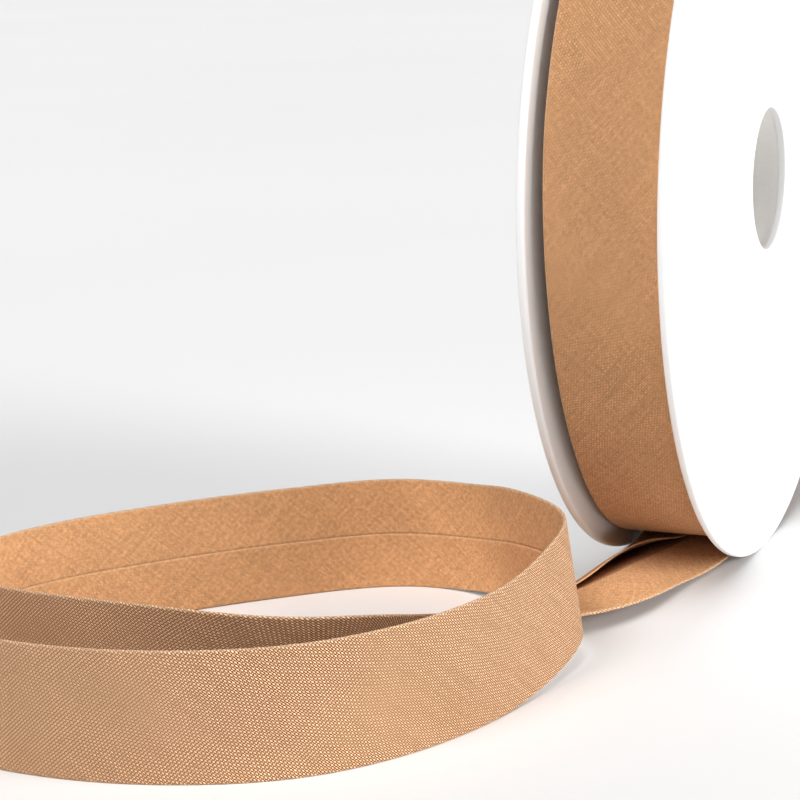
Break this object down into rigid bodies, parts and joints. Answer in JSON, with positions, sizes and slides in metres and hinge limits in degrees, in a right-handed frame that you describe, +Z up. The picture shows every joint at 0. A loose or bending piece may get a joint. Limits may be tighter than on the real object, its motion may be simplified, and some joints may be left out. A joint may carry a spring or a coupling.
{
  "type": "roll of bias binding on a reel",
  "caption": "Folded cotton bias binding wound on a plain two-flange reel, with a loose end pulled off under it that passes beneath its own standing loop and lies in a spiral on edge.",
  "frame": {"origin": "middle of the bottom of the bounding box of the whole object, on the surface it stands on", "axes": "+Z up; +X along the reel's level axis, out of the flange that faces the viewer; +Y from the loose end back to the reel"},
  "size_m": [0.1102, 0.2208, 0.1399],
  "materials": {
    "tape": "plain woven cotton cut on the bias, light tan, matt",
    "reel": "moulded white plastic, smooth satin",
    "core": "pale card tube, matt"
  },
  "bodies": {
    "root": {"near_flange": "reel", "far_flange": "reel", "core_tube": "core", "wound_tape": "tape", "loose_tape": "tape"}
  },
  "joints": []
}
